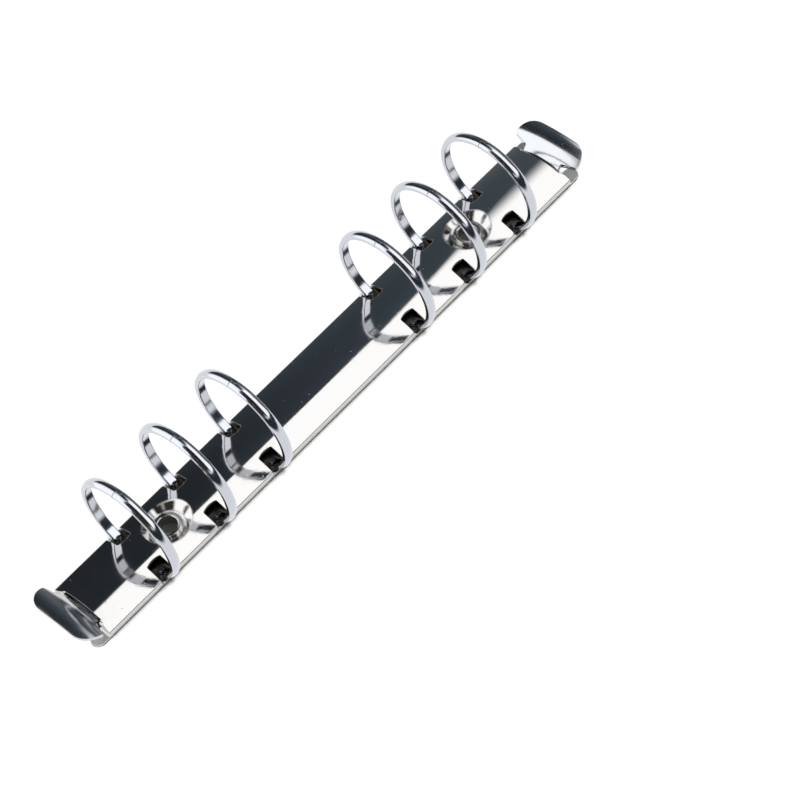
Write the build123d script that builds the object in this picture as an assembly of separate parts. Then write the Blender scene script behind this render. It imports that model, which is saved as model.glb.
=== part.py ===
from build123d import *
import math
import os

# Ring binder mechanism, drawn closed. X runs along the spine, Y across it, +Z is up, z = 0 is the base.
# Lengths are in millimetres, angles in degrees.

# Rings
ring_pitch = 19.0
ring_middle_gap = 51.0
ring_outer_radius = 15.0
ring_depth = 1.6
ring_width = 2.5
ring_bulge_share = 0.31
ring_corner_radius = 0.35
ring_foot_reach = 0.35
seam_step = 0.8
seam_gap = 0.1

# Cover
sheet = 0.7
cover_overhang = 18.5
cover_width = 18.8
cover_edge_height = 1.9
cover_rise = 2.6
edge_radius = 0.6
hem_radius = 0.3
hem_reach = 1.0
slot_width = 4.4
slot_inner_offset = 4.9
slot_bow = 0.48
slot_corner_radius = 0.4
slot_hem_gap = 0.05

# Mounting seats and their eyelets
seat_depth = 2.1
seat_flat_radius = 3.7
seat_floor_radius = 4.35
seat_floor_fall = 0.15
seat_wall_angle = 42.0
eyelet_hole_radius = 2.4
eyelet_wall = 0.6
eyelet_collar_width = 0.45
eyelet_collar_height = 0.65
eyelet_flange_radius = 4.4
eyelet_flange_height = 0.7
eyelet_round_radius = 0.3

# Rails
rail_thickness = 0.8
rail_axis_height = 1.35
rail_closed_angle = 2.2
rail_open_angle = 9.0
rail_end_gap = 1.2
rail_gap = 0.2
rail_notch_gap = 0.4
pivot_clearance = 0.05
finger_hold = 0.9
finger_width = 1.3
finger_thickness = 0.5
tenon_radius = 0.6
tenon_shift = 0.65
rivet_radius = 0.95
rivet_height = 0.3

# Levers
lever_axis_inset = 1.8
lever_axis_height = 1.6
lever_arm = 4.4
lever_sheet = 0.9
lever_cover_gap = 0.25
lever_neck_width = 11.2
lever_web_low = 1.5
lever_bend_radius = 1.2
tab_width = 20.0
tab_reach = 8.05
tab_tip_height = 7.4
tab_root_angle = 54.0
tab_tip_angle = -2.0
tab_crown_radius = 60.0
tab_flare_reach = 2.6
tab_neck_reach = 1.45
tab_tip_corner_share = 0.9
tab_root_corner_share = 0.08
tab_neck_corner_radius = 0.5
barrel_radius = 1.15
barrel_width = 9.0
arm_height = 1.3
arm_width = 3.8
fork_depth = 1.9
fork_clearance = 0.12
prong_nose_radius = 0.2
prong_height = 0.3
pin_radius = 0.5
pin_seat = 0.15

# Corner lugs
lug_reach = 5.0
lug_foot_radius = 1.95
lug_wall_reach = 0.8
lug_wall_height = 3.4
lug_bend_radius = 1.0
lug_fillet_radius = 0.6
lug_root = 0.7
lug_neck_gap = 0.35
pick_reach = 0.05

# Values that follow from the sizes above
ring_first = ring_middle_gap / 2
ring_xs = [side * (ring_first + step * ring_pitch) for side in (-1, 1) for step in range(3)]
ring_xs.sort()
seat_offset = (ring_xs[-2] + ring_xs[-1]) / 2
cover_half = cover_width / 2
cover_end = ring_xs[-1] + cover_overhang
cover_length = 2 * cover_end
crown_height = cover_edge_height + cover_rise
dome_radius = (cover_half ** 2 + cover_rise ** 2) / (2 * cover_rise)
dome_centre = crown_height - dome_radius
rail_radius = rail_thickness / 2
pocket_radius = rail_radius + pivot_clearance
rail_axis_y = cover_half - sheet - pocket_radius
rail_width = rail_axis_y - rail_gap / 2
hem_height = rail_axis_height - pocket_radius
slot_floor_height = hem_height + slot_hem_gap
ring_inner_radius = ring_outer_radius - ring_depth
ring_middle_radius = ring_outer_radius - ring_depth / 2
ring_foot_y = rail_axis_y - ring_foot_reach
ring_foot_angle = math.degrees(math.asin(ring_foot_y / ring_middle_radius))
tenon_reach = ring_foot_reach + tenon_shift
seat_floor_height = crown_height - seat_depth
eyelet_barrel_radius = eyelet_hole_radius + eyelet_wall
eyelet_collar_radius = eyelet_barrel_radius + eyelet_collar_width
eyelet_top = seat_floor_height + eyelet_collar_height
rail_lift = rail_width * math.sin(math.radians(rail_open_angle))
rail_open_top = rail_axis_height + rail_lift + rail_radius
seat_wall_base = seat_floor_height - sheet + seat_floor_fall
seat_wall_run = (rail_open_top - seat_wall_base) / math.tan(math.radians(seat_wall_angle))
rail_notch_radius = seat_floor_radius + max(seat_wall_run, 0) + rail_notch_gap
lever_axis_x = cover_end - lever_axis_inset
rail_length = 2 * (lever_axis_x - lever_arm - rail_end_gap)
finger_length = rail_end_gap + finger_hold
lug_offset = cover_half - lug_foot_radius
web_inner = cover_end + lever_cover_gap
web_outer = web_inner + lever_sheet
pin_half = cover_half - sheet + pin_seat
tall = 4 * ring_outer_radius
wide = 2 * cover_length


def rail_height(reach, offset, angle):
    """Height of a point on a rail: its reach from the hinge and its offset above the rail's middle."""
    turn = math.radians(angle)
    return rail_axis_height + reach * math.sin(turn) + offset * math.cos(turn)


def fork_centre(angle):
    """Middle of the heights the rail fingers take up with the rails at one angle."""
    near = rail_width
    far = rail_width - finger_width
    heights = [rail_height(reach, rail_radius, angle) for reach in (near, far)]
    heights += [rail_height(reach, rail_radius - finger_thickness, angle) for reach in (near, far)]
    return (max(heights) + min(heights)) / 2, max(heights) - min(heights)


def lever_angle(angle):
    """Tilt of the lever's arm that puts its fork round the rail fingers."""
    return math.degrees(math.asin((fork_centre(angle)[0] - lever_axis_height) / lever_arm))


rail_top_at_foot = rail_height(ring_foot_reach, rail_radius, -rail_closed_angle)
ring_centre = rail_top_at_foot + math.sqrt(ring_middle_radius ** 2 - ring_foot_y ** 2)
lever_closed_angle = lever_angle(-rail_closed_angle)
fork_gap = fork_centre(rail_open_angle)[1] + 2 * fork_clearance


def along_x(sketch, length):
    """Solid of one section drawn on the YZ plane, centred along X."""
    return extrude(Plane.YZ * sketch, amount=length / 2, both=True)


def along_y(sketch, width):
    """Solid of one section drawn in X and Z, centred across Y."""
    return extrude(Plane.XZ * sketch, amount=width / 2, both=True)


def upright(sketch, low, high):
    """Solid of one plan outline between two heights."""
    return Pos(0, 0, low) * extrude(sketch, amount=high - low)


def turned(points, x):
    """Solid of revolution about an upright axis from (radius, height) points."""
    outline = Plane.XZ * make_face(Polyline(*points, close=True))
    return Pos(x, 0, 0) * revolve(outline, Axis.Z)


def band(low, high, width):
    """Rectangle on the middle line between two heights."""
    return Pos(0, (low + high) / 2) * Rectangle(width, high - low)


def opposite(solid):
    """The same piece turned half a turn about Z."""
    return Rot(0, 0, 180) * solid


def dome_envelope(length):
    """Everything under the outside of the cover."""
    section = Pos(0, dome_centre) * Circle(dome_radius) & band(0, tall, cover_width)
    corners = section.vertices().filter_by(lambda v: v.Y > cover_edge_height / 2)
    section = fillet(corners, edge_radius)
    section = fillet(section.vertices().sort_by(Axis.Y)[:2], hem_radius)
    return along_x(section, length)


def seat_air(drop):
    """Open space above a sunk seat, lowered by one drop."""
    floor = seat_floor_height - drop
    top = tall
    rim_floor = floor + seat_floor_fall
    rim = seat_floor_radius + (top - rim_floor) / math.tan(math.radians(seat_wall_angle))
    points = [(0, floor), (seat_flat_radius, floor), (seat_floor_radius, rim_floor), (rim, top), (0, top)]
    return points


def ring_slot(x):
    """Plan cut for one pair of slots, bowed at the inner ends and open at the rim."""
    side = slot_width / 2
    inner = slot_inner_offset
    walls = Polyline((-side, inner), (-side, cover_width), (side, cover_width), (side, inner))
    end = ThreePointArc((side, inner), (0, inner - slot_bow), (-side, inner))
    outline = make_face(walls + end)
    outline = fillet(outline.vertices().sort_by(Axis.Y)[:2], slot_corner_radius)
    cut = upright(outline, slot_floor_height, tall)
    return Pos(x, 0, 0) * (cut + opposite(cut))


def corner_lug():
    """One foot lug: a rounded flat foot stepped down from the end of the cover."""
    start = cover_end - lug_root
    wall = cover_end + lug_wall_reach
    tip = cover_end + lug_reach - lug_foot_radius
    outline = Polyline(
        (start, 0), (tip, 0), (tip, sheet), (wall, sheet), (wall, lug_wall_height),
        (start, lug_wall_height), close=True)
    section = make_face(outline)
    inner_corner = section.vertices().filter_by(lambda v: abs(v.X - wall) < pick_reach).sort_by(Axis.Y)
    section = fillet(inner_corner[:1], lug_fillet_radius)
    upper = section.vertices().filter_by(lambda v: abs(v.X - wall) < pick_reach).sort_by(Axis.Y)
    section = fillet(upper[-1:], lug_bend_radius)
    inside = lever_neck_width / 2 + lug_neck_gap
    outside = lug_offset + lug_foot_radius
    step = Pos(0, (inside + outside) / 2, 0) * along_y(section, outside - inside)
    foot = upright(Pos(tip, lug_offset) * Circle(lug_foot_radius), 0, sheet)
    return step + foot


def build_cover():
    """Domed sheet with hems, slots, seats, hinge grooves, pin seats and corner lugs."""
    envelope = dome_envelope(cover_length)
    room = Pos(0, dome_centre) * Circle(dome_radius - sheet)
    room = room & band(hem_height, tall, cover_width - 2 * sheet)
    room = room + band(0, hem_height, cover_width - 2 * hem_reach)
    for side in (-1, 1):
        room = room + Pos(side * rail_axis_y, rail_axis_height) * Circle(pocket_radius)
    shell = envelope - along_x(room, wide)
    for side in (-1, 1):
        shell = shell + (turned(seat_air(sheet), side * seat_offset) & envelope)
    lug = corner_lug() & dome_envelope(wide)
    mirrored = mirror(lug, Plane.XZ)
    shell = shell + lug + mirrored + opposite(lug) + opposite(mirrored)
    for side in (-1, 1):
        shell = shell - turned(seat_air(0), side * seat_offset)
        shell = shell - Pos(side * seat_offset, 0, 0) * Cylinder(eyelet_barrel_radius, tall)
        shell = shell - lever_pin(side)
    for x in ring_xs:
        shell = shell - ring_slot(x)
    return shell


def lever_pin(side):
    """Cross pin of one lever."""
    return Pos(side * lever_axis_x, 0, lever_axis_height) * Rot(90, 0, 0) * Cylinder(pin_radius, 2 * pin_half)


def build_eyelet(side):
    """Hollow rivet with a rounded collar in the seat and a flange on the base."""
    points = [
        (eyelet_hole_radius, 0), (eyelet_flange_radius, 0), (eyelet_flange_radius, eyelet_flange_height),
        (eyelet_barrel_radius, eyelet_flange_height), (eyelet_barrel_radius, seat_floor_height),
        (eyelet_collar_radius, seat_floor_height), (eyelet_collar_radius, eyelet_top),
        (eyelet_hole_radius, eyelet_top)]
    body = turned(points, 0)
    rims = body.edges().filter_by(GeomType.CIRCLE).group_by(Axis.Z)[-1]
    body = fillet(rims, eyelet_round_radius)
    return Pos(side * seat_offset, 0, 0) * body


def on_rail(solid):
    """Move a piece drawn on a flat rail, hinge on X, to the front rail's closed place."""
    return Pos(0, -rail_axis_y, rail_axis_height) * Rot(-rail_closed_angle, 0, 0) * solid


def build_front_rail():
    """Flat rail with a rounded hinge edge, end fingers, seat notches and tenon holes."""
    plate = Pos(0, rail_width / 2, 0) * Box(rail_length, rail_width, rail_thickness)
    plate = plate + Rot(0, 90, 0) * Cylinder(rail_radius, rail_length)
    span = rail_length + 2 * finger_length
    finger = Box(span, finger_width, finger_thickness)
    plate = plate + Pos(0, rail_width - finger_width / 2, rail_radius - finger_thickness / 2) * finger
    for side in (-1, 1):
        plate = plate - Pos(side * seat_offset, rail_axis_y, 0) * Cylinder(rail_notch_radius, tall)
    for x in ring_xs:
        plate = plate - Pos(x, tenon_reach, 0) * Cylinder(tenon_radius, tall)
    return on_rail(plate)


def ring_section(left, right):
    """D section of a ring at its top, cut to a part of its width."""
    half = ring_width / 2
    side = ring_outer_radius - ring_bulge_share * ring_depth
    base = Polyline((-half, side), (-half, ring_inner_radius), (half, ring_inner_radius), (half, side))
    bow = ThreePointArc((half, side), (0, ring_outer_radius), (-half, side))
    section = make_face(base + bow)
    section = fillet(section.vertices().sort_by(Axis.Y)[:2], ring_corner_radius)
    middle = (ring_inner_radius + ring_outer_radius) / 2
    return section & Pos((left + right) / 2, middle) * Rectangle(right - left, 2 * ring_depth)


def ring_arc(section, start, stop):
    """Sweep a ring section from one angle to another, from the top over to the front."""
    return Rot(start, 0, 0) * revolve(Plane.XZ * section, Axis.X, stop - start)


def build_front_half_ring(x):
    """Half ring with a stepped tip, a flat foot on its rail and a riveted tenon."""
    half = ring_width / 2
    step = math.degrees(seam_step / ring_outer_radius)
    gap = math.degrees(seam_gap / ring_outer_radius)
    stop = 180 - ring_foot_angle
    arc = ring_arc(ring_section(-half, half), step, stop)
    tongue = ring_arc(ring_section(-half, -seam_gap / 2), gap - step, step)
    ring = Pos(x, 0, ring_centre) * (arc + tongue)
    below = on_rail(Pos(x, 0, rail_radius - tall / 2) * Box(2 * ring_width, tall, tall))
    stem_top = rail_radius + ring_depth / 2
    stem = upright(Circle(tenon_radius), -rail_radius, stem_top)
    rivet = upright(Circle(rivet_radius), -rail_radius - rivet_height, -rail_radius)
    return ring - below + on_rail(Pos(x, tenon_reach, 0) * (stem + rivet))


def tab_edge(depth):
    """Lengthwise line of the lever's web and tab at a depth under its outer face, from the web up to the tip."""
    tip = cover_end + tab_reach
    root_turn = math.radians(tab_root_angle)
    tip_turn = math.radians(tab_tip_angle)
    root_x = web_inner + lever_bend_radius * (1 - math.sin(root_turn))
    crown = (tip - root_x) / (math.sin(root_turn) - math.sin(tip_turn))
    crown_x = tip + crown * math.sin(tip_turn)
    crown_z = tab_tip_height - crown * math.cos(tip_turn)
    bend_x = web_inner + lever_bend_radius
    bend_z = crown_z + (crown - lever_bend_radius) * math.cos(root_turn)

    def on_crown(turn):
        return crown_x - (crown - depth) * math.sin(turn), crown_z + (crown - depth) * math.cos(turn)

    def on_bend(turn):
        radius = lever_bend_radius - depth
        return bend_x - radius * math.sin(turn), bend_z + radius * math.cos(turn)

    upright_turn = math.pi / 2
    tip_point = on_crown(tip_turn)
    past = (tip_point[0] + lever_sheet * math.cos(tip_turn), tip_point[1] + lever_sheet * math.sin(tip_turn))
    line = Polyline((web_inner + depth, lever_web_low), on_bend(upright_turn))
    line = line + ThreePointArc(
        on_bend(upright_turn), on_bend((upright_turn + root_turn) / 2), on_bend(root_turn))
    line = line + ThreePointArc(
        on_crown(root_turn), on_crown((root_turn + tip_turn) / 2), on_crown(tip_turn))
    return line + Polyline(tip_point, past), past


def build_right_lever():
    """Lever: forked arm, barrel on the pin, upright web and a thumb tab crowned both ways."""
    tip = cover_end + tab_reach
    upper, upper_end = tab_edge(0)
    lower, lower_end = tab_edge(lever_sheet)
    ends = Polyline(upper_end, lower_end) + Polyline((web_inner, lever_web_low), (web_outer, lever_web_low))
    profile = make_face(upper + lower + ends)
    crown_axis = Axis((0, 0, tab_tip_height - tab_crown_radius), (1, 0, 0))
    sweep = 2 * math.degrees(tab_width / tab_crown_radius)
    swept = revolve(Plane.XZ * profile, crown_axis, sweep)
    sheet_body = swept.rotate(crown_axis, -sweep / 2)
    neck = lever_neck_width / 2
    half = tab_width / 2
    neck_end = web_inner + tab_neck_reach
    flare = web_inner + tab_flare_reach
    edge = [(web_inner - sheet, neck), (neck_end, neck), (flare, half), (tip, half)]
    far_edge = [(x, -y) for x, y in reversed(edge)]
    plan = make_face(Polyline(*(edge + far_edge), close=True))
    tip_corner = tab_tip_corner_share * (tip - flare)
    root_corner = tab_root_corner_share * (tip - flare)
    plan = fillet(plan.vertices().filter_by(lambda v: abs(v.X - tip) < pick_reach), tip_corner)
    plan = fillet(plan.vertices().filter_by(lambda v: abs(v.X - flare) < pick_reach), root_corner)
    plan = fillet(plan.vertices().filter_by(lambda v: abs(v.X - neck_end) < pick_reach), tab_neck_corner_radius)
    sheet_body = sheet_body & upright(plan, 0, tall)
    hub = Pos(lever_axis_x, 0, lever_axis_height)
    barrel = hub * Rot(90, 0, 0) * Cylinder(barrel_radius, barrel_width)
    bridge = make_face(Polyline(
        (lever_axis_x, lever_axis_height - barrel_radius / 2), (web_outer, lever_web_low),
        (web_outer, lever_web_low + lever_sheet), (lever_axis_x, lever_axis_height + barrel_radius / 2),
        close=True))
    body = sheet_body + barrel + along_y(bridge, barrel_width)
    base = lever_arm - fork_depth
    arm = Pos(-base / 2, 0, 0) * Box(base, arm_width, arm_height)
    nose_height = fork_gap / 2 + prong_nose_radius
    for side in (-1, 1):
        prong = Pos(-(base + lever_arm) / 2, 0, 0) * Box(fork_depth, arm_width, prong_height)
        back = Pos(-base + prong_height, 0, -side * nose_height / 2)
        root_block = back * Box(2 * prong_height, arm_width, nose_height + prong_height)
        nose = Pos(-lever_arm, 0, 0) * Rot(90, 0, 0) * Cylinder(prong_nose_radius, arm_width)
        arm = arm + Pos(0, 0, side * nose_height) * (prong + nose + root_block)
    body = body + hub * Rot(0, lever_closed_angle, 0) * arm
    return body - hub * Rot(90, 0, 0) * Cylinder(pin_radius + pivot_clearance, cover_width)


def write(solid, name):
    """Write one piece to its own file."""
    export_step(solid, os.path.join("parts", name + ".step"))


os.makedirs("parts", exist_ok=True)
write(build_cover(), "cover")
front_rail = build_front_rail()
write(front_rail, "front_rail")
write(opposite(front_rail), "back_rail")
for number, x in enumerate(ring_xs, start=1):
    write(build_front_half_ring(x), f"front_half_ring_{number}")
    write(opposite(build_front_half_ring(-x)), f"back_half_ring_{number}")
right_lever = build_right_lever()
write(right_lever, "right_lever")
write(opposite(right_lever), "left_lever")
for name, side in (("left", -1), ("right", 1)):
    write(lever_pin(side), f"{name}_lever_pin")
    write(build_eyelet(side), f"{name}_eyelet")
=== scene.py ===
# %% [markdown]
# A ring binder mechanism is a long pressed cover with two spring rails hidden under it. Six split rings stand on the
# rails and a thumb lever at each end pushes them open. Every hard piece already comes from the CAD model, so this
# lesson loads that model as a fixed frame and spends its time on what CAD can't give: plating, light and a camera.

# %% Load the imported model
import math
import bpy
from mathutils import Matrix, Vector

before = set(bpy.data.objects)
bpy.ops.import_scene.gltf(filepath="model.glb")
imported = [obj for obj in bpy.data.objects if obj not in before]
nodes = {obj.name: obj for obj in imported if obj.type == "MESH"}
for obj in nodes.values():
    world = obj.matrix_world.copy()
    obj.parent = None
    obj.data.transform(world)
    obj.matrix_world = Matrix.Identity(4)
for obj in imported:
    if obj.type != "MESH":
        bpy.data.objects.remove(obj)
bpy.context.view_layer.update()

# %% [markdown]
# Blender works in metres and in linear colour, while a maker thinks in millimetres and reads colours off a picture as
# sRGB hex values. Two small helpers translate both once, so that every later number can be read as it was meant.

# %% Millimetres and hex colours
mm = 0.001


def linear(hex_colour):
    """An sRGB hex colour as the linear RGBA that Blender's sockets take."""
    parts = [int(hex_colour[i:i + 2], 16) / 255 for i in (1, 3, 5)]
    parts = [v / 12.92 if v <= 0.04045 else ((v + 0.055) / 1.055) ** 2.4 for v in parts]
    return (*parts, 1.0)


print("mid grey in linear light", [round(v, 3) for v in linear("#808080")])

# %% [markdown]
# A material or a world is a little graph of nodes. Adding one by hand takes four or five lines each time, so one small
# function makes a node, sets its properties, and fills each input with a number or with a link from another node.

# %% One helper for nodes


def add_node(tree, kind, inputs=None, **settings):
    """A new node with its settings, and each input given as a value or as the socket it is linked from."""
    made = tree.nodes.new(kind)
    for name, value in settings.items():
        setattr(made, name, value)
    for socket, value in (inputs or {}).items():
        if isinstance(value, bpy.types.NodeSocket):
            tree.links.new(value, made.inputs[socket])
        else:
            made.inputs[socket].default_value = value
    return made


print("node helper ready")

# %% [markdown]
# The picture is taken from above one end with a long lens, so the rails run up the frame on a slant. The camera's
# place was worked out from the six ring positions. Its direction is turned into a rotation that looks along local -Z,
# and a last roll about that same axis gives the slant.

# %% Camera
camera_place = Vector((-223.08, -299.33, 514.08)) * mm
camera_aim = Vector((0.36574, 0.44614, -0.81682))
camera_roll = math.radians(-11.058)
camera_data = bpy.data.cameras.new("product_camera")
camera_data.sensor_width = 36.0
camera_data.lens = 117.78
camera_data.clip_start = 10 * mm
camera = bpy.data.objects.new("product_camera", camera_data)
bpy.context.scene.collection.objects.link(camera)
camera.location = camera_place
looking = camera_aim.to_track_quat("-Z", "Y").to_matrix()
camera.rotation_euler = (looking @ Matrix.Rotation(camera_roll, 3, "Z")).to_euler()
bpy.context.scene.camera = camera
bpy.context.scene.view_settings.view_transform = "Standard"
print("camera is", round(camera.location.length / mm), "mm from the part's origin")

# %% [markdown]
# Mirror plating has hardly any colour of its own: what we see on it is the room. The room here is a white cove, so the
# world is plain white for the rays that look at it straight on or through a reflection, and softer for the light that
# it sheds on the floor. The Light Path node tells these rays apart.

# %% White studio world
world = bpy.data.worlds.new("white_cove")
bpy.context.scene.world = world
world.use_nodes = True
sky = world.node_tree
sky.nodes.clear()


def seen_by_eye_or_mirror(tree):
    """1 for rays from the camera, a mirror or glass, and 0 for the light that falls on rough surfaces."""
    path = add_node(tree, "ShaderNodeLightPath")
    mirror = add_node(tree, "ShaderNodeMath", {0: path.outputs["Is Camera Ray"], 1: path.outputs["Is Glossy Ray"]},
                      operation="MAXIMUM")
    glass = add_node(tree, "ShaderNodeMath", {0: mirror.outputs[0], 1: path.outputs["Is Transmission Ray"]},
                     operation="MAXIMUM")
    return glass.outputs[0]


fill = add_node(sky, "ShaderNodeBackground", {"Color": linear("#eef1f5"), "Strength": 0.3})
cove = add_node(sky, "ShaderNodeBackground", {"Color": linear("#ffffff"), "Strength": 1.0})
both = add_node(sky, "ShaderNodeMixShader", {0: seen_by_eye_or_mirror(sky), 1: fill.outputs[0], 2: cove.outputs[0]})
add_node(sky, "ShaderNodeOutputWorld", {"Surface": both.outputs[0]})
print("world nodes", len(sky.nodes))

# %% [markdown]
# The part lies on a white sweep, which is one big sheet just under its base. It could be bent up into a cove, but the
# camera looks down so steeply that it only ever sees the flat of it.

# %% White sweep
sweep_side = 3000 * mm
sweep_drop = 0.03 * mm
half = sweep_side / 2
sweep_mesh = bpy.data.meshes.new("white_sweep")
sweep_mesh.from_pydata([(-half, -half, 0), (half, -half, 0), (half, half, 0), (-half, half, 0)], [], [(0, 1, 2, 3)])
sweep = bpy.data.objects.new("white_sweep", sweep_mesh)
bpy.context.scene.collection.objects.link(sweep)
sweep.location.z = -sweep_drop
print("sweep", sweep_side, "m wide")

# %% [markdown]
# Two eyelets go right through the part, and each is a narrow well with paper at its bottom. Hardly any light gets down
# there, so the paper's glow is left out near each well, which paints that shade, and the paper needs to know how far it
# lies from a well. The part is the same on both sides of its middle, so one distance does for both: take the size of X
# without its sign, step back to the well, and measure from there. The seats round the eyelets are finished in another
# way than the sheet, and use the same measure later.

# %% Distance from the eyelets
eyelet_offset = 54 * mm


def distance_from_eyelet(tree):
    """How far a point lies from the nearer eyelet's axis, in metres."""
    place = add_node(tree, "ShaderNodeTexCoord").outputs["Object"]
    axes = add_node(tree, "ShaderNodeSeparateXYZ", {0: place})
    outward = add_node(tree, "ShaderNodeMath", {0: axes.outputs["X"]}, operation="ABSOLUTE")
    aside = add_node(tree, "ShaderNodeMath", {0: outward.outputs[0], 1: eyelet_offset}, operation="SUBTRACT")
    flat = add_node(tree, "ShaderNodeCombineXYZ", {"X": aside.outputs[0], "Y": axes.outputs["Y"]})
    return add_node(tree, "ShaderNodeVectorMath", {0: flat.outputs[0]}, operation="LENGTH").outputs["Value"]


print("eyelets", eyelet_offset / mm, "mm either side of the middle")

# %% [markdown]
# The sheet is matt paper. Its own colour is a middle grey that holds the soft shadow, and a glow that only the eye and
# the mirrors see lifts it to clean white without throwing any more light on the metal. An Ambient Occlusion node takes
# the glow away where the part shuts in the paper, which paints a fine dark line of shade along the cover's edge. Under
# the eyelets the glow is left out as well, which paints the shade at the bottom of each well.

# %% Matt white paper
shut_in_reach = 4 * mm
shut_in, open_air = 0.5, 0.56
paper_glow = 0.96
well_edge, paper_edge = 3.2 * mm, 3.6 * mm
paper = bpy.data.materials.new("matt_white_paper")
paper.use_nodes = True
tree = paper.node_tree
tree.nodes.clear()
sheet = add_node(tree, "ShaderNodeBsdfDiffuse", {"Color": linear("#7c7a76")})
openness = add_node(tree, "ShaderNodeAmbientOcclusion", {"Distance": shut_in_reach}, samples=8)
# Painted contact shade: the glow fades out where the Ambient Occlusion finds the part close by.
glow_with_painted_contact_shade = add_node(tree, "ShaderNodeMapRange", {"Value": openness.outputs["AO"], "From Min": shut_in,
                                              "From Max": open_air, "To Max": paper_glow})
# Painted well shade: within the eyelets' reach the glow is left out, so the paper at the bottom of each well is dark.
outside_painted_well_shade = add_node(tree, "ShaderNodeMapRange", {"Value": distance_from_eyelet(tree), "From Min": well_edge,
                                                "From Max": paper_edge})
glow_after_painted_shade = add_node(tree, "ShaderNodeMath", {0: glow_with_painted_contact_shade.outputs[0], 1: outside_painted_well_shade.outputs[0]}, operation="MULTIPLY")
shown = add_node(tree, "ShaderNodeMath", {0: glow_after_painted_shade.outputs[0], 1: seen_by_eye_or_mirror(tree)}, operation="MULTIPLY")
glow = add_node(tree, "ShaderNodeEmission", {"Color": linear("#ffffff"), "Strength": shown.outputs[0]})
lifted = add_node(tree, "ShaderNodeAddShader", {0: sheet.outputs[0], 1: glow.outputs[0]})
add_node(tree, "ShaderNodeOutputMaterial", {"Surface": lifted.outputs[0]})
sweep_mesh.materials.append(paper)
print("paper nodes", len(tree.nodes))

# %% [markdown]
# One long soft lamp hangs over the part and runs on past its right end. Polished metal shows the lamp itself, so its
# edges matter more than its power: the far edge lies almost over the part, where it draws the line along the cover
# between white and dark, and the near edge is far enough out to light the whole near side of the dome. The power is
# set so that bright chrome mirrors the lamp just short of full white.

# %% Overhead softbox
lamp_height_mm = 600
lamp_left_mm, lamp_right_mm = 45, 1100
lamp_near_mm, lamp_far_mm = -1000, 62
lamp_watts_per_m2 = 1.634
softbox_data = bpy.data.lights.new("overhead_softbox", "AREA")
softbox_data.shape = "RECTANGLE"
softbox_data.size = (lamp_right_mm - lamp_left_mm) * mm
softbox_data.size_y = (lamp_far_mm - lamp_near_mm) * mm
softbox_data.energy = lamp_watts_per_m2 * softbox_data.size * softbox_data.size_y
softbox = bpy.data.objects.new("overhead_softbox", softbox_data)
bpy.context.scene.collection.objects.link(softbox)
softbox.visible_camera = False
lamp_middle_mm = ((lamp_left_mm + lamp_right_mm) / 2, (lamp_near_mm + lamp_far_mm) / 2, lamp_height_mm)
softbox.location = Vector(lamp_middle_mm) * mm
print("softbox", round(softbox_data.size, 2), "by", round(softbox_data.size_y, 2), "m,",
      round(softbox_data.energy, 2), "W")

# %% [markdown]
# A white room alone would make the plating look like white plastic. Photographers set cards round polished metal so
# that it has something to mirror, and the line where a dark card meets white is what says chrome. The cards here are
# flat sheets that only mirrors can see: they throw no shadow, shed no light and never stand in the picture. Each one
# is four corners and a tone, so one helper makes them all, and another gives the corners of an upright card.

# %% Helpers for cards


def mirror_card(name, corners_mm, tone, strength=1.0):
    """A flat card through four corners in millimetres, seen only in reflections: its node tree and its face."""
    mesh = bpy.data.meshes.new(name)
    mesh.from_pydata([Vector(corner) * mm for corner in corners_mm], [], [(0, 1, 2, 3)])
    card = bpy.data.objects.new(name, mesh)
    bpy.context.scene.collection.objects.link(card)
    card.visible_camera = False
    card.visible_diffuse = False
    card.visible_shadow = False
    card.visible_transmission = False
    felt = bpy.data.materials.new("felt_" + name)
    felt.use_nodes = True
    felt.node_tree.nodes.clear()
    face = add_node(felt.node_tree, "ShaderNodeEmission", {"Color": linear(tone), "Strength": strength})
    add_node(felt.node_tree, "ShaderNodeOutputMaterial", {"Surface": face.outputs[0]})
    mesh.materials.append(felt)
    return felt.node_tree, face


def upright(first, second, low, high):
    """Corners of an upright card between two points of the floor and two heights, in millimetres."""
    return [(*first, low), (*second, low), (*second, high), (*first, high)]


print("card helpers ready")

# %% [markdown]
# The card behind leans from the lamp's far edge down to the floor. The far half of the cover mirrors it and goes dark.
# The low card in front gives the near side of each ring its dark foot and draws a line along the near hem. The card on
# the right stands where the left thumb tab looks.

# %% Cards behind, in front and on the right
slate = "#2d353c"
front_tone = "#2b323a"
behind_left_mm, behind_right_mm, behind_foot_mm = -15, 1500, 700
behind_corners = [(behind_left_mm, lamp_far_mm, lamp_height_mm), (behind_right_mm, lamp_far_mm, lamp_height_mm),
                  (behind_right_mm, behind_foot_mm, 0), (behind_left_mm, behind_foot_mm, 0)]
behind, behind_face = mirror_card("card_behind", behind_corners, slate)
in_front, in_front_face = mirror_card("card_front", upright((-700, -330), (900, -330), 0, 200), front_tone)
right_height_mm = 400
right, right_face = mirror_card("card_right", upright((400, -250), (400, 330), 0, right_height_mm), slate)
print("behind runs from", behind_left_mm, "to", behind_right_mm, "mm")

# %% [markdown]
# On the left a dark lid carries on from the lamp at about the same height, and two dark cards and a warm grey one
# stand under it. Together they make the dark third along the left of each ring's near side. The white panel at the
# back left lights the right thumb tab, the walls of the seats and the left rim of the rings.

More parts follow.
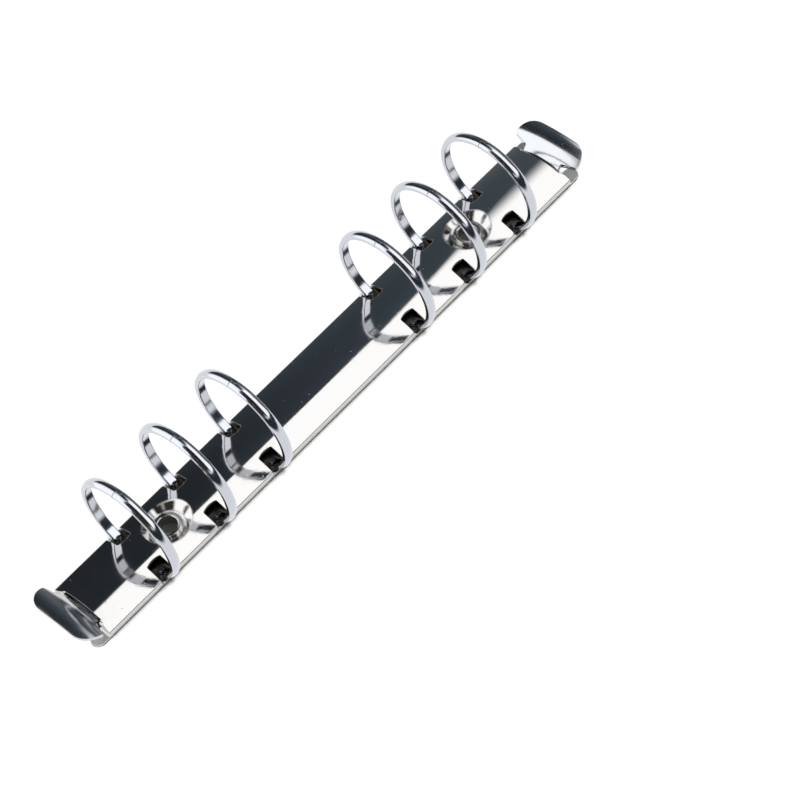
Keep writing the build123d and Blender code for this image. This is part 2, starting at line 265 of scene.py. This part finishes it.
# %% Cards on the left and the white panel
warm_dark = "#3a3733"
lid_corners = [(-580, 155, 590), (-400, -700, 590), (lamp_left_mm, lamp_near_mm, lamp_height_mm),
               (lamp_left_mm, lamp_far_mm, lamp_height_mm)]
mirror_card("card_left", lid_corners, "#2e2d2c")
mirror_card("card_left_low", upright((-580, 60), (-400, -700), 0, 240), "#6b655d")
mirror_card("card_left_edge", upright((-599, -31), (-535, -272), 215, 640), warm_dark)
mirror_card("card_left_side", upright((-535, -272), (-282, -530), 240, 590), warm_dark)
panel_strength = 1.5
panel_corners = [(-104, 591, 0), (-599, -31, 0), (-599, -31, 1000), (-104, 591, 1400)]
mirror_card("panel_back", panel_corners, "#ffffff", panel_strength)

# %% [markdown]
# The lamp's far edge is a hard line over the left end of the part and melts away over the right end, as a fabric front
# does where it hangs further from its tubes. The card behind carries that soft edge: its colour goes from lamp white
# to dark cloth over a distance that grows from left to right. The cloth itself gets lighter to the right, where stray
# light falls on it.

# %% Soft edge on the card behind
soften_from, soften_to = 265 * mm, 310 * mm
crisp_width, melted_width = 8 * mm, 190 * mm
stray_from, stray_to = 100 * mm, 450 * mm
cloth_turn = 0.6
cloth_tones = ("#2a2f34", "#48525a", "#6b6c6e")
lamp_seen = 1.45
lamp_white = [lamp_seen * v for v in linear("#ffffff")[:3]] + [1.0]
spot = add_node(behind, "ShaderNodeSeparateXYZ", {0: add_node(behind, "ShaderNodeTexCoord").outputs["Object"]})
soft_width = add_node(behind, "ShaderNodeMapRange", {
    "Value": spot.outputs["X"], "From Min": soften_from, "From Max": soften_to, "To Min": crisp_width,
    "To Max": melted_width})
past_edge = add_node(behind, "ShaderNodeMath", {0: spot.outputs["Y"], 1: lamp_far_mm * mm}, operation="SUBTRACT")
share = add_node(behind, "ShaderNodeMath", {0: past_edge.outputs[0], 1: soft_width.outputs[0]}, operation="DIVIDE",
                 use_clamp=True)
melt = add_node(behind, "ShaderNodeValToRGB", {"Fac": share.outputs[0]})
melt.color_ramp.interpolation = "EASE"
stray = add_node(behind, "ShaderNodeMapRange", {"Value": spot.outputs["X"], "From Min": stray_from,
                                                "From Max": stray_to})
cloth = add_node(behind, "ShaderNodeValToRGB", {"Fac": stray.outputs[0]})
cloth.color_ramp.elements.new(cloth_turn)
for stop, tone in zip(cloth.color_ramp.elements, cloth_tones):
    stop.color = linear(tone)
edge = add_node(behind, "ShaderNodeMix", {"Factor": melt.outputs[0], "A": lamp_white, "B": cloth.outputs[0]},
                data_type="RGBA")
behind.links.new(edge.outputs["Result"], behind_face.inputs["Color"])
print("soft edge from", round(crisp_width / mm), "to", round(melted_width / mm), "mm wide")

# %% [markdown]
# The card in front stands on the white floor, and its foot is pale from it. That melts the dark foot of each ring into
# the light floor below it, where a plain card would leave a hard point.

# %% Pale foot of the front card
foot_height = 55 * mm
spot = add_node(in_front, "ShaderNodeSeparateXYZ", {0: add_node(in_front, "ShaderNodeTexCoord").outputs["Object"]})
rise = add_node(in_front, "ShaderNodeMapRange", {"Value": spot.outputs["Z"], "From Max": foot_height},
                interpolation_type="SMOOTHSTEP")
shade = add_node(in_front, "ShaderNodeMix", {"Factor": rise.outputs[0], "A": linear("#f4f4f4"),
                                             "B": linear(front_tone)}, data_type="RGBA")
in_front.links.new(shade.outputs["Result"], in_front_face.inputs["Color"])
print("front card is pale up to", round(foot_height / mm), "mm")

# %% [markdown]
# The left thumb tab is dark with one beige streak along it. So the card on the right is dark near the floor, has a warm
# streak a third of the way up, is grey above that, and goes to slate at its top and its far side. A colour ramp over
# the height holds the tones, and a mix over the depth dims them.

# %% Tones of the right card
right_tones = [(0.0, "#1f2428"), (0.26, "#2f3333"), (0.34, "#a8a294"), (0.42, "#6e6f70"), (0.75, "#757579"),
               (1.0, slate)]
dim_from, dim_to = 120 * mm, 300 * mm
spot = add_node(right, "ShaderNodeSeparateXYZ", {0: add_node(right, "ShaderNodeTexCoord").outputs["Object"]})
height = add_node(right, "ShaderNodeMapRange", {"Value": spot.outputs["Z"], "From Max": right_height_mm * mm})
fade = add_node(right, "ShaderNodeValToRGB", {"Fac": height.outputs[0]})
for height_share, tone in right_tones[1:-1]:
    fade.color_ramp.elements.new(height_share)
for stop, (height_share, tone) in zip(fade.color_ramp.elements, right_tones):
    stop.position = height_share
    stop.color = linear(tone)
far_side = add_node(right, "ShaderNodeMapRange", {"Value": spot.outputs["Y"], "From Min": dim_from,
                                                  "From Max": dim_to})
dim = add_node(right, "ShaderNodeMix", {"Factor": far_side.outputs[0], "A": fade.outputs[0], "B": linear(slate)},
               data_type="RGBA")
right.links.new(dim.outputs["Result"], right_face.inputs["Color"])
print("right card has", len(fade.color_ramp.elements), "tones")

# %% [markdown]
# The cover, the rings, the levers and the eyelets are pressed or drawn steel with bright nickel under a flash of
# chrome. Such plating mirrors the room, yet it isn't glass: the sheet keeps a slow wave from the press, the plate has a
# fine orange peel, and handling leaves hair scratches, dust and a patchy bloom. Metallic is 1 and the colour is the
# plate's reflectance. The wave, the peel and the scratches move the normal. The bloom and the dust move the roughness,
# and a small Bevel rounds the sheared edges so that each one catches a thin line of light.

# %% Bright plate over steel
# The real peel is about 0.1 mm across, a hair scratch 0.02 mm and a grain of dust 0.05 mm. All three are drawn a few
# times coarser, so that they still show in the picture.
edge_round = 0.12 * mm
hair_length, hair_width, hair_turn = 9 * mm, 0.25 * mm, math.radians(24)
hair_from, hair_to = 0.66, 0.72
bloom_size, bloom_from, bloom_to = 8 * mm, 0.35, 0.7
dust_spacing, dust_core, dust_rim, dust_rough = 2.2 * mm, 0.1 * mm, 0.22 * mm, 0.34


def bright_plate(name, tone, wave_mm, peel_mm, scratch_mm, rough):
    """Plating with a wave and a peel, each as width and height, scratches of a depth, and a range of roughness."""
    material = bpy.data.materials.new(name)
    material.use_nodes = True
    tree = material.node_tree
    tree.nodes.clear()
    place = add_node(tree, "ShaderNodeTexCoord").outputs["Object"]
    wave = add_node(tree, "ShaderNodeTexNoise", {"Vector": place, "Scale": 1 / (wave_mm[0] * mm), "Detail": 1.0})
    peel = add_node(tree, "ShaderNodeTexNoise", {"Vector": place, "Scale": 1 / (peel_mm[0] * mm), "Detail": 2.0})
    drawn_out = add_node(tree, "ShaderNodeMapping", {"Vector": place, "Rotation": (0.0, 0.0, hair_turn),
                                                     "Scale": (1 / hair_length, 1 / hair_width, 1 / hair_length)})
    hairs = add_node(tree, "ShaderNodeTexNoise", {"Vector": drawn_out.outputs[0], "Scale": 1.0, "Detail": 2.0,
                                                  "Distortion": 0.4})
    cuts = add_node(tree, "ShaderNodeMapRange", {"Value": hairs.outputs["Fac"], "From Min": hair_from,
                                                 "From Max": hair_to})
    bloom = add_node(tree, "ShaderNodeTexNoise", {"Vector": place, "Scale": 1 / bloom_size, "Detail": 6.0,
                                                  "Roughness": 0.65})
    patchy = add_node(tree, "ShaderNodeMapRange", {"Value": bloom.outputs["Fac"], "From Min": bloom_from,
                                                   "From Max": bloom_to, "To Min": rough[0], "To Max": rough[1]})
    grains = add_node(tree, "ShaderNodeTexVoronoi", {"Vector": place, "Scale": 1 / dust_spacing})
    dust = add_node(tree, "ShaderNodeMapRange", {
        "Value": grains.outputs["Distance"], "From Min": dust_core / dust_spacing,
        "From Max": dust_rim / dust_spacing, "To Min": dust_rough, "To Max": 0.0})
    dusted = add_node(tree, "ShaderNodeMath", {0: patchy.outputs[0], 1: dust.outputs[0]}, operation="MAXIMUM",
                      name="dusted")
    rounded = add_node(tree, "ShaderNodeBevel", {"Radius": edge_round}, samples=4, name="rounded")
    pressed = add_node(tree, "ShaderNodeBump", {"Height": wave.outputs["Fac"], "Strength": 1.0,
                                                "Distance": wave_mm[1] * mm, "Normal": rounded.outputs[0]})
    peeled = add_node(tree, "ShaderNodeBump", {"Height": peel.outputs["Fac"], "Strength": 1.0,
                                               "Distance": peel_mm[1] * mm, "Normal": pressed.outputs[0]},
                      name="peeled")
    scratched = add_node(tree, "ShaderNodeBump", {"Height": cuts.outputs[0], "Strength": 1.0,
                                                  "Distance": -scratch_mm * mm, "Normal": peeled.outputs[0]})
    plate = add_node(tree, "ShaderNodeBsdfPrincipled", {
        "Base Color": linear(tone), "Metallic": 1.0, "Roughness": dusted.outputs[0], "Normal": scratched.outputs[0]},
        name="plate")
    add_node(tree, "ShaderNodeOutputMaterial", {"Surface": plate.outputs[0]})
    return material


print("plate helper ready")

# %% [markdown]
# Six finishes come out of the one helper. The numbers follow how each piece was made: a wide sheet waves slowly, drawn
# wire hardly at all, and a bent tab more than either. The pins are bare steel, so they are darker and rougher than
# what is plated. The rails are bare steel too, rougher still, and their dark tone paints the shade deep in the slots.

# %% The six finishes
# Pressed sheet under bright chrome: an almost clean mirror, neutral, with a slow wave.
cover_plate = bright_plate("bright_chrome_cover", "#d2d1d0", (26, 0.02), (0.4, 0.007), 0.001, (0.05, 0.09))
# Formed strip under chrome: a touch of lavender, and softer edges to what it mirrors.
ring_plate = bright_plate("bright_chrome_rings", "#cccfd7", (12, 0.003), (0.4, 0.0006), 0.001, (0.1, 0.17))
# Bent and rubbed tabs under chrome: a soft mirror that bends what it shows.
lever_plate = bright_plate("bright_chrome_levers", "#cfd1d4", (8, 0.08), (0.4, 0.001), 0.001, (0.12, 0.18))
# Rolled eyelets in bright nickel: warmer than chrome.
eyelet_plate = bright_plate("bright_nickel_eyelets", "#d2d0cb", (10, 0.003), (0.4, 0.0006), 0.001, (0.08, 0.14))
# Oiled spring steel in a dull brown-black tone, which is painted shade deep in the slots.
dark_rail_painted_shade = bright_plate("oiled_spring_steel", "#55514b", (10, 0.01), (0.6, 0.002), 0.002, (0.25, 0.4))
# Drawn steel wire, bare: a grey satin.
pin_steel = bright_plate("drawn_steel_pin", "#b7b4ad", (6, 0.003), (0.5, 0.001), 0.001, (0.2, 0.3))
print("finishes", [m.name for m in (cover_plate, ring_plate, lever_plate, eyelet_plate, dark_rail_painted_shade, pin_steel)])

# %% [markdown]
# The cover isn't the same all over. Its lug feet are folded last and rub on everything, so past the ends of the dome it
# turns to satin. The sheet is stretched over its shoulders, where the peel opens up, and hardly at all along the crown.
# The two seats are drawn by a polished punch, which irons out the peel and leaves wide round edges. Masks by position
# say where each of these holds, and they are linked into the nodes that the helper named.

# %% Feet, shoulders and seats of the cover
foot_from, foot_to, foot_rough = 83.2 * mm, 83.6 * mm, 0.5
crown_edge, shoulder_edge, crown_peel = 4.8 * mm, 6.4 * mm, 0.12
seat_edge, sheet_edge, seat_round = 6 * mm, 8 * mm, 0.8 * mm
tree = cover_plate.node_tree
axes = add_node(tree, "ShaderNodeSeparateXYZ", {0: add_node(tree, "ShaderNodeTexCoord").outputs["Object"]})
outward = add_node(tree, "ShaderNodeMath", {0: axes.outputs["X"]}, operation="ABSOLUTE")
satin = add_node(tree, "ShaderNodeMapRange", {"Value": outward.outputs[0], "From Min": foot_from, "From Max": foot_to,
                                              "To Max": foot_rough})
worn = add_node(tree, "ShaderNodeMath", {0: tree.nodes["dusted"].outputs[0], 1: satin.outputs[0]},
                operation="MAXIMUM")
tree.links.new(worn.outputs[0], tree.nodes["plate"].inputs["Roughness"])

sideways = add_node(tree, "ShaderNodeMath", {0: axes.outputs["Y"]}, operation="ABSOLUTE")
stretch = add_node(tree, "ShaderNodeMapRange", {"Value": sideways.outputs[0], "From Min": crown_edge,
                                                "From Max": shoulder_edge, "To Min": crown_peel})
from_seat = distance_from_eyelet(tree)
unironed = add_node(tree, "ShaderNodeMapRange", {"Value": from_seat, "From Min": seat_edge, "From Max": sheet_edge})
open_peel = add_node(tree, "ShaderNodeMath", {0: stretch.outputs[0], 1: unironed.outputs[0]}, operation="MULTIPLY")
tree.links.new(open_peel.outputs[0], tree.nodes["peeled"].inputs["Strength"])

wide_round = add_node(tree, "ShaderNodeMapRange", {"Value": from_seat, "From Min": seat_edge, "From Max": sheet_edge,
                                                   "To Min": seat_round, "To Max": edge_round})
tree.links.new(wide_round.outputs[0], tree.nodes["rounded"].inputs["Radius"])
print("cover nodes", len(tree.nodes))

# %% [markdown]
# Each CAD node gets the finish of its kind of piece. The name says the kind, and the first word that fits decides, so
# a lever's pin is found as a pin before it can be taken for a lever.

# %% Dress the CAD nodes
finish_of_word = [("pin", pin_steel), ("lever", lever_plate), ("rail", dark_rail_painted_shade), ("ring", ring_plate),
                  ("eyelet", eyelet_plate), ("cover", cover_plate)]
for name, piece in nodes.items():
    finish = next(material for word, material in finish_of_word if word in name)
    piece.data.materials.clear()
    piece.data.materials.append(finish)
print("dressed", len(nodes), "nodes")
